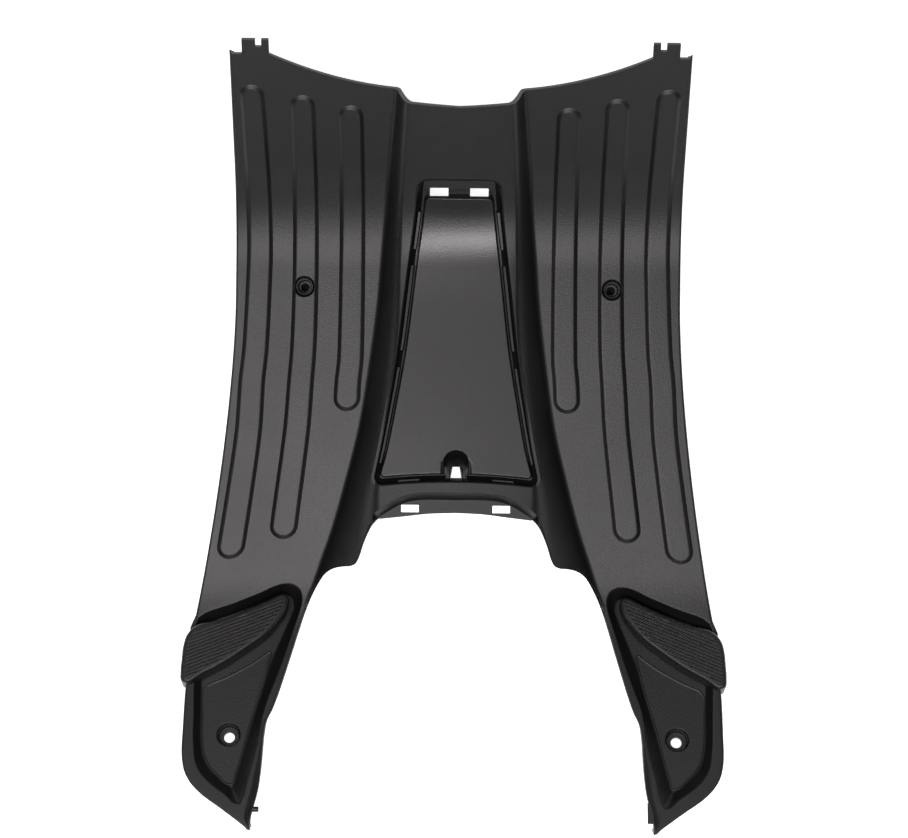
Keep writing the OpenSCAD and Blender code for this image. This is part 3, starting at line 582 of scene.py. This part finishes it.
cuts.append(well_cutter())
key = np.array([[-4.0, well_y], [4.0, well_y], [2.5, well_y + 8.2], [-2.5, well_y + 8.2]])
cuts.append(prism("key_cut", key, WELL_FLOOR - WELL_TUB - 3, WELL_FLOOR + 1, upright))


FRONT_SLOTS = (14.6, 179.4, 13.4, 6.0, 30)
REAR_SLOTS = (32.95, -50.5, 12.8, 5.4, 48)


def slot_cutters(x, y, w, d, low):
    """Pair of cutters for slots of w by d with rounded corners."""
    box = np.array([[-w, -d], [w, -d], [w, d], [-w, d]]) / 2
    loop = np.vstack([[0, -d / 2], box[1:], box[:1], [0, -d / 2]])
    hole = rounded(loop, [(0.5, 0.5)] * 6, 5)
    return copies(prism("slot", hole[:-1] + [x, y], low, low + 24, upright))


def screw_cutters():
    """Pair of cutters for the floor screws: hole, collar seat and a shallow ring."""
    steps = [(0, -2), (0, 7), (1.6, 7.01), (1.6, SKIRT_H - 1.9), (1.9, SKIRT_H - 1.3),
             (3.2, SKIRT_H - 1.2), (3.5, SKIRT_H - 0.6), (3.9, SKIRT_H - 0.1), (4.3, SKIRT_H + 0.9),
             (5.5, SKIRT_H + 3)]
    rings = [upright(*disc(SCREW_X, SCREW_Y, SCREW_R + by).T, z) for by, z in steps]
    return copies(from_rings("screw", np.stack(rings)))


def tail_hole_cutters():
    """Pair of cutters for the tail screws: hole and counterbore."""
    steps = [(4.0, -22), (4.0, HEAD_FLOOR), (7.2, HEAD_FLOOR), (7.8, HEAD_FLOOR + 0.6),
             (7.8, -TAIL_DEPTH - 0.9), (8.3, -TAIL_DEPTH - 0.25), (8.8, -TAIL_DEPTH + 0.4),
             (10, -TAIL_DEPTH + 3)]
    rings = [on_tail(*disc(hole_x, hole_v, r).T, w) for r, w in steps]
    return copies(from_rings("tail_hole", np.stack(rings)))


cuts += slot_cutters(*FRONT_SLOTS) + slot_cutters(*REAR_SLOTS) + screw_cutters()


def mixed(share):
    """Outline of a tail's recess at a share of the way from its foot up to its rim."""
    return recess_foot + share * (recess_rim - recess_foot)


rings = [on_tail(*grown(recess_foot, -1.8).T, -TAIL_DEPTH),
         on_tail(*grown(recess_foot, -0.8).T, -TAIL_DEPTH + 0.2),
         on_tail(*grown(mixed(0.08), -0.3).T, -TAIL_DEPTH + 0.9)]
steps = [(0.72, -2.3), (0.82, -1.35), (0.92, -0.6), (1, -0.15)]
rings += [over_tail(*mixed(share).T, w) for share, w in steps]
rings += [over_tail(*grown(recess_rim, by).T, w) for by, w in ((0.6, 0.04), (2.0, 2.5))]
cuts += copies(from_rings("recess", np.stack(rings)))
cuts += tail_hole_cutters()
hollow = grown(pad, -3.0)
pad_void = prism("pad_void", hollow, -TAIL_DEPTH - 5, PAD_H - 3, on_tail)
cuts += copies(pad_void)
combine(shell, cuts)
print("with its seats:", len(shell.data.polygons), "faces")

# %% Trim the front edge in the plane of its slope
FRONT_KNEE_S = FLAT_L + FRONT_ARC - FRONT_R * np.tan(FRONT_A / 2)
FRONT_KNEE_Y = BEND_Y + FRONT_R * np.tan(FRONT_A / 2)
EDGE_V, TIP_V = EDGE_S - FRONT_KNEE_S, TIP_S - FRONT_KNEE_S
TAB_V = EDGE_V + EDGE_RISE


def on_front(x, v, w):
    """Point in the frame of the front slope: v up along it and w square off it."""
    x, v, w = np.broadcast_arrays(np.asarray(x, float), v, w)
    y = FRONT_KNEE_Y + v * np.cos(FRONT_A) - w * np.sin(FRONT_A)
    return np.stack([x, y, SKIRT_H + v * np.sin(FRONT_A) + w * np.cos(FRONT_A)], axis=-1)


t = np.linspace(0, 1, 19)
corner_x = 0.275 * FLOOR_HW
edge_v = EDGE_V + EDGE_RISE * (0.67 * t * t + 0.33 * t)
edge = np.stack([corner_x + t * (TAB_IN - corner_x), edge_v], axis=-1)
tabs = [[TAB_IN, TIP_V], [TAB_MID, TIP_V], [TAB_MID, TAB_V + 5.85], [TAB_MID + 4.3, TAB_V + 5.85],
        [TAB_MID + 4.3, TIP_V], [TAB_OUT, TIP_V], [TAB_OUT, TAB_V], [162, TAB_V], [162, TIP_V + 60]]
half = np.vstack([[[corner_x * 0.8, EDGE_V - 0.75]], edge, tabs])
waste = np.concatenate([half, (half * mirror)[::-1], [[0, EDGE_V - 3]]])
combine(shell, [prism("waste", waste, -40, 76, on_front)])
tidy(shell, 2e-6)
print("shell:", len(shell.data.polygons), "faces")

# %% [markdown]
# The ribs, the cover's seat panel, its ledges and the pads stand on the shell. Each is a closed
# piece that sinks into it; the ribs, the panel and the pads have rounded tops.

# %% Foot ribs
RIBS = [[[0.027, 1.016], [0.048, 1.008], [0.176, 0.966], [0.285, 0.935], [0.385, 0.922],
         [0.447, 0.908], [0.583, 0.895], [0.664, 0.892], [0.931, 0.905], [1.005, 0.911]],
        [[0.068, 0.774], [0.092, 0.771], [0.285, 0.719], [0.385, 0.703], [0.448, 0.693],
         [0.556, 0.687], [0.664, 0.686], [0.983, 0.689]],
        [[0.325, 0.496], [0.349, 0.494], [0.385, 0.490], [0.434, 0.480], [0.664, 0.477],
         [0.961, 0.478]]]
RIB_W, RIB_FRONT_W, RIB_H = 20.3, 17.2, 1.8
RIB_STEPS = [(0, 0, -SINK), (1, 0.9, -SINK), (1, 0.7, -0.12), (1, 0, 0.12), (1, -1.2, 0.95),
             (1, -1.9, 1.5), (1, -2.5, 1.75), (1, -3.2, RIB_H), (0.45, 0, RIB_H), (0, 0, RIB_H)]


def rib(path, n=70):
    """Foot rib along a path, with round ends; its half width falls evenly towards the front."""
    a, b = path[0][0] * EDGE_S, path[-1][0] * EDGE_S
    middle = np.linspace(a, b, 200)
    half = (RIB_W + (RIB_FRONT_W - RIB_W) * middle / EDGE_S) / 2
    turn = np.linspace(0, np.pi / 2, 10)[:-1]
    r0, r1 = half[0], half[-1]
    s = [a + r0 * (1 - np.cos(turn)), np.linspace(a + r0, b - r1, n), b - r1 * (1 - np.cos(turn[::-1]))]
    w = [r0 * np.sin(turn), np.interp(s[1], middle, half), r1 * np.sin(turn[::-1])]
    s, w = np.concatenate(s), np.concatenate(w)
    x = fair(path, s / EDGE_S) * FLOOR_HW
    outline = np.concatenate([np.stack([x + w, s], axis=-1), np.stack([x - w, s], axis=-1)[-2:0:-1]])
    outline = outline[np.append(True, np.linalg.norm(np.diff(outline, axis=0), axis=1) > 0.05)]
    inside = np.clip(outline[:, 1], a + r0, b - r1)
    core = np.stack([fair(path, inside / EDGE_S) * FLOOR_HW, inside], axis=-1)
    return from_rings("rib", climb(outline, core, RIB_STEPS, spot), pointed=True)


ribs = joined("foot_ribs", [piece for path in RIBS for piece in copies(rib(path))])
combine(ribs, screw_cutters())
print("ribs:", len(ribs.data.polygons), "faces")

# %% Seat panel and ledges
def on_panel(x, s, lift):
    """Point on the seat's middle panel, which is a little higher along its middle."""
    return on_seat(x, s, lift + 0.5 * np.clip(1 - (x / 45) ** 2, 0, 1) * (lift > -4.6))


top = PANEL_H - SEAT_DEPTH
steps = [(0, 0, SEAT_FOOT), (1, 0.9, SEAT_FOOT), (1, 0, top - 0.9), (1, -0.2, top - 0.35),
         (1, -0.5, top - 0.08), (1, -1.0, top)] + [(share, 0, top) for share in (0.8, 0.6, 0.4, 0.2, 0)]
core = lane_core(panel, 18)
seat_panel = from_rings("seat_panel", climb(panel, core, steps, on_panel), pointed=True)
combine(seat_panel, [well_cutter()] + slot_cutters(*FRONT_SLOTS))
ledges = []
for a, b in ((0.222, 0.412), (0.446, 0.616), (0.652, 0.736)):
    s = np.linspace(a, b, 12) * EDGE_S
    low, high = fair(PANEL, s / EDGE_S) * FLOOR_HW, fair(SEAT_RIM, s / EDGE_S) * FLOOR_HW
    rings = []
    for near, far, lift in ((0.20, 0.80, SEAT_FOOT), (0.36, 0.66, -6.2)):
        x = np.concatenate([low + near * (high - low), (low + far * (high - low))[::-1]])
        rings.append(on_seat(x, np.concatenate([s, s[::-1]]), lift))
    ledges += copies(from_rings("ledge", np.stack(rings)))
box = [[26.2, 65.5], [41.7, 65.9], [41.7, 68.3], [26.2, 68.2]]
ledges += copies(prism("ledge", box, SEAT_FOOT, -6.6, on_seat))
ledges = joined("seat_ledges", ledges)
print("seat panel:", len(seat_panel.data.polygons), "faces; ledges:", len(ledges.data.polygons))

# %% Tail fields, pads and their fine ribs
FIELD_STEPS = [(0, -9.2), (0, -7.6), (-0.25, -7.3), (-0.8, -7.2), (-1.2, -7.45), (-1.6, -7.6)]
tail_field = from_rings("field", np.stack([on_tail(*grown(field, by).T, w) for by, w in FIELD_STEPS]))
PAD_STEPS = [(0, -11), (0, 5.4), (-0.2, 6.5), (-0.75, 7.4), (-1.5, 7.9), (-2.4, 8.0)]
tail_pad = from_rings("pad", np.stack([on_tail(*grown(pad, by).T, w) for by, w in PAD_STEPS]))
combine(tail_pad, [prism("hollow", hollow, -TAIL_DEPTH - 5, PAD_H - 3, on_tail)])
run = np.array([0.275 * HALF_W, -0.133 * TAIL_L])
run = run / np.linalg.norm(run)
across = np.array([run[1], -run[0]]) * np.sign(run[0])
start = np.array(PAD[20]) * on_scale
profile = np.array([[-0.85, -1.4], [-0.55, 0.25], [-0.3, 0.68], [0, 0.8],
                    [0.3, 0.68], [0.55, 0.25], [0.85, -1.4]])
BAR_PITCH, BARS = 2.4, 14
bars = []
for k in range(1, BARS + 1):
    ends = []
    for far in (-140, 90):
        p = start + far * run + across * (k * BAR_PITCH + profile[:, :1])
        ends.append(on_tail(p[:, 0], p[:, 1], PAD_H + profile[:, 1]))
    bars.append(from_rings("bar", np.stack(ends)))
border = prism("border", grown(pad, -3.2), PAD_H - 1.3, PAD_H + 2, on_tail)
bars = combine(joined("bars", bars), [border], "INTERSECT")
fields = combine(joined("fields", copies(tail_field)), tail_hole_cutters())
tails = joined("tails", [fields] + copies(tail_pad) + copies(bars))
print("tails:", len(tails.data.polygons), "faces")

# %% Lips along the tails' inner edges, the peg and the clip
def shell_point(x, y, h):
    """Point h over the moulding's outer face at a place of the plan."""
    s = np.array(y) - TAIL_Y
    for _ in range(40):
        height = np.clip((foot_x(s) - x) / (foot_x(s) - shoulder_x(s)), 0, 1) * tunnel_h(s)
        py, pz, slope = line(s)
        s = s + 0.7 * (y - (py - (height + h) * np.sin(slope)))
    return spot(x, s, height + h)


LIP_SHAPE = [(0, 1.5), (0.05, 1.2), (0.2, 0.95), (0.5, 0.55), (0.8, 0.18), (1, 0.03), (1.08, 0)]
width = lip_w[:, 0]
drop = 0.7 + 0.35 * width
level, far = 0 * width, np.maximum(1.1 * width + 0.7, 3)
profile = [(level, level - 9)] + [(f * width, -g * drop) for f, g in LIP_SHAPE]
profile += [(1.08 * width + 0.4, level - 0.25), (1.08 * width + 0.6, level - 1.2)]
profile += [(far, level - 3.2), (far, level - 9)]
rings = []
for deep, h in profile:
    edge_points = inner_edge + deep[:, None] * out
    rings.append(shell_point(edge_points[:, 0], edge_points[:, 1], h))
lip = from_rings("lip", np.stack(rings, axis=1))
peg_x, peg_v = 0.722 * HALF_W, -0.902 * TAIL_L
a = np.linspace(0, 2 * np.pi, 24, endpoint=False)
peg = from_rings("peg", np.stack([on_tail(-peg_x + x, peg_v + r * np.cos(a), -4.5 + r * np.sin(a))
                                  for x, r in ((-1, 2), (3.9, 2), (4.3, 1.8), (4.5, 1.4))]))
box = [[peg_x - 3, peg_v - 7.5], [peg_x + 1.5, peg_v - 7.5],
       [peg_x + 1.5, peg_v + 7.5], [peg_x - 3, peg_v + 7.5]]
clip = prism("clip", box, -4.5, -2.5, on_tail)
edges = joined("tail_edges", copies(lip) + [peg, clip])
print("edges:", len(edges.data.polygons), "faces")

# %% Smooth faces and hand over the pieces
for piece in (shell, ribs, seat_panel, ledges, tails, edges):
    piece.data.shade_smooth()
    piece.data.set_sharp_from_angle(angle=np.radians(32))
    even = piece.modifiers.new("even_normals", "WEIGHTED_NORMAL")
    even.keep_sharp = True
    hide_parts("floorboard")
    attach(piece, "root")


# %% [markdown]
# The plastic is black polypropylene with a fine spark-eroded grain: nearly black in itself, so
# what the photograph shows of it is the soft sheen of the lights above. The panel in the seat
# comes from a smoother part of the mould and shines more.

# %% Material
class Value:
    """Socket with arithmetic: each operator adds a Math node."""

    def __init__(self, tree, socket):
        self.tree, self.socket = tree, socket

    def _do(self, operation, a, b):
        node = self.tree.nodes.new("ShaderNodeMath")
        node.operation = operation
        for slot, item in zip(node.inputs, (a, b)):
            if isinstance(item, Value):
                self.tree.links.new(item.socket, slot)
            else:
                slot.default_value = item
        return Value(self.tree, node.outputs[0])

    def __add__(self, other):
        return self._do("ADD", self, other)

    __radd__ = __add__

    def __mul__(self, other):
        return self._do("MULTIPLY", self, other)

    __rmul__ = __mul__

    def __sub__(self, other):
        return self._do("SUBTRACT", self, other)


class Sheet:
    """Node tree of one material, with one way to add a node."""

    def __init__(self, material):
        material.use_nodes = True
        self.tree = material.node_tree
        self.shader = self.tree.nodes["Principled BSDF"]

    def node(self, kind, settings=None, sockets=None, out=0):
        made = self.tree.nodes.new("ShaderNode" + kind)
        for name, value in (settings or {}).items():
            setattr(made, name, value)
        for name, value in (sockets or {}).items():
            self.feed(made.inputs[name], value)
        return Value(self.tree, made.outputs[out])

    def feed(self, socket, value):
        if isinstance(value, Value):
            self.tree.links.new(value.socket, socket)
        else:
            socket.default_value = value


def plastic(name, gloss, level, pieces):
    """Grained black plastic. Where the mould was polished, the grain is finer and the sheen tighter."""
    material = bpy.data.materials.new(name)
    sheet = Sheet(material)
    place = sheet.node("TexCoord", out=3)
    grain = sheet.node("TexNoise", sockets={"Vector": place, "Scale": 900.0, "Detail": 3.0})
    cloud = sheet.node("TexNoise", sockets={"Vector": place, "Scale": 14.0, "Detail": 4.0})
    soft = sheet.node("Bevel", {"samples": 6}, {"Radius": 0.0007})
    relief = {"Strength": 0.5 * (1 - gloss), "Distance": 0.0003, "Height": grain, "Normal": soft}
    inputs = sheet.shader.inputs
    sheet.feed(inputs["Base Color"], (0.0075, 0.0071, 0.0069, 1))
    sheet.feed(inputs["Specular IOR Level"], level)
    sheet.feed(inputs["Roughness"], 0.44 - 0.22 * gloss + 0.08 * (cloud - 0.5))
    sheet.feed(inputs["Normal"], sheet.node("Bump", None, relief))
    for piece in pieces:
        piece.data.materials.clear()
        piece.data.materials.append(material)
    print(name, "on", len(pieces), "pieces")


plastic("black_grained", 0.0, 0.5, (shell, ribs, ledges, tails, edges))
plastic("black_polished", 0.55, 0.6, (seat_panel,))

# %% [markdown]
# The photograph was taken from straight above on a white ground, with a long soft light overhead.
# Every slot shows white, but the two floor screws' holes show dark, because the panel shades the ground
# beneath them. So the ground's colour and glow carry a painted shadow: a small dark spot under each of
# their bosses.

# %% Ground, lights and camera
ground = bpy.data.meshes.new("ground")
ground.from_pydata([(-9, -9, 0), (9, -9, 0), (9, 9, 0), (-9, 9, 0)], [], [(0, 1, 2, 3)])
floor = bpy.data.objects.new("ground", ground)
bpy.context.collection.objects.link(floor)
white = bpy.data.materials.new("ground_white")
ground.materials.append(white)
sheet = Sheet(white)
place = sheet.node("TexCoord", out=3)
x, y = (sheet.node("SeparateXYZ", None, {"Vector": place}, out=k) for k in (0, 1))
# Painted shadow: the ground's colour and glow fall to black in a round spot under each floor-screw boss,
# standing in for the panel's shade there.
SHADOW_SPOT_X, SHADOW_SPOT_Y, SHADOW_SPOT_R = SCREW_X / 1000, SCREW_Y / 1000, 0.005
aside, ahead = (x * x - SHADOW_SPOT_X ** 2) * (0.5 / SHADOW_SPOT_X), y - SHADOW_SPOT_Y
ground_white_with_painted_shadow = sheet.node("Clamp", None, {"Value": (aside * aside + ahead * ahead) * (0.5 / SHADOW_SPOT_R ** 2) - 0.5})
looks = {"Base Color": ground_white_with_painted_shadow, "Roughness": 0.9, "Emission Color": ground_white_with_painted_shadow, "Emission Strength": 0.9}
for name, value in looks.items():
    sheet.feed(sheet.shader.inputs[name], value)


def lamp(name, place, size, power):
    """Rectangular area light that looks at the panel."""
    data = bpy.data.lights.new(name, "AREA")
    data.shape = "RECTANGLE"
    data.size, data.size_y = size
    data.energy = power
    data.color = (1.0, 0.97, 0.965)
    made = bpy.data.objects.new(name, data)
    bpy.context.collection.objects.link(made)
    made.location = place
    made.rotation_euler = (-Vector(place)).to_track_quat("-Z", "Y").to_euler()
    return made


lamp("overhead_softbox", (-0.15, -0.31, 2.3), (1.8, 0.35), 38)
lamp("front_fill", (-0.15, 0.75, 2.3), (2.0, 0.5), 7.5)
lamp("rear_fill", (0.0, -2.5, 1.4), (2.2, 0.5), 11)
world = bpy.data.worlds.new("studio")
bpy.context.scene.world = world
world.use_nodes = True
world.node_tree.nodes["Background"].inputs["Color"].default_value = (1, 1, 1, 1)
world.node_tree.nodes["Background"].inputs["Strength"].default_value = 0.04
bpy.context.scene.view_settings.view_transform = "Standard"

camera = bpy.data.objects.new("camera", bpy.data.cameras.new("camera"))
bpy.context.collection.objects.link(camera)
camera.location = (-0.0019, 0.0145, 2.02)
camera.rotation_euler = (0, 0, np.radians(0.68))
camera.data.angle = 2 * np.arctan(0.3337 / 2.0)
bpy.context.scene.camera = camera
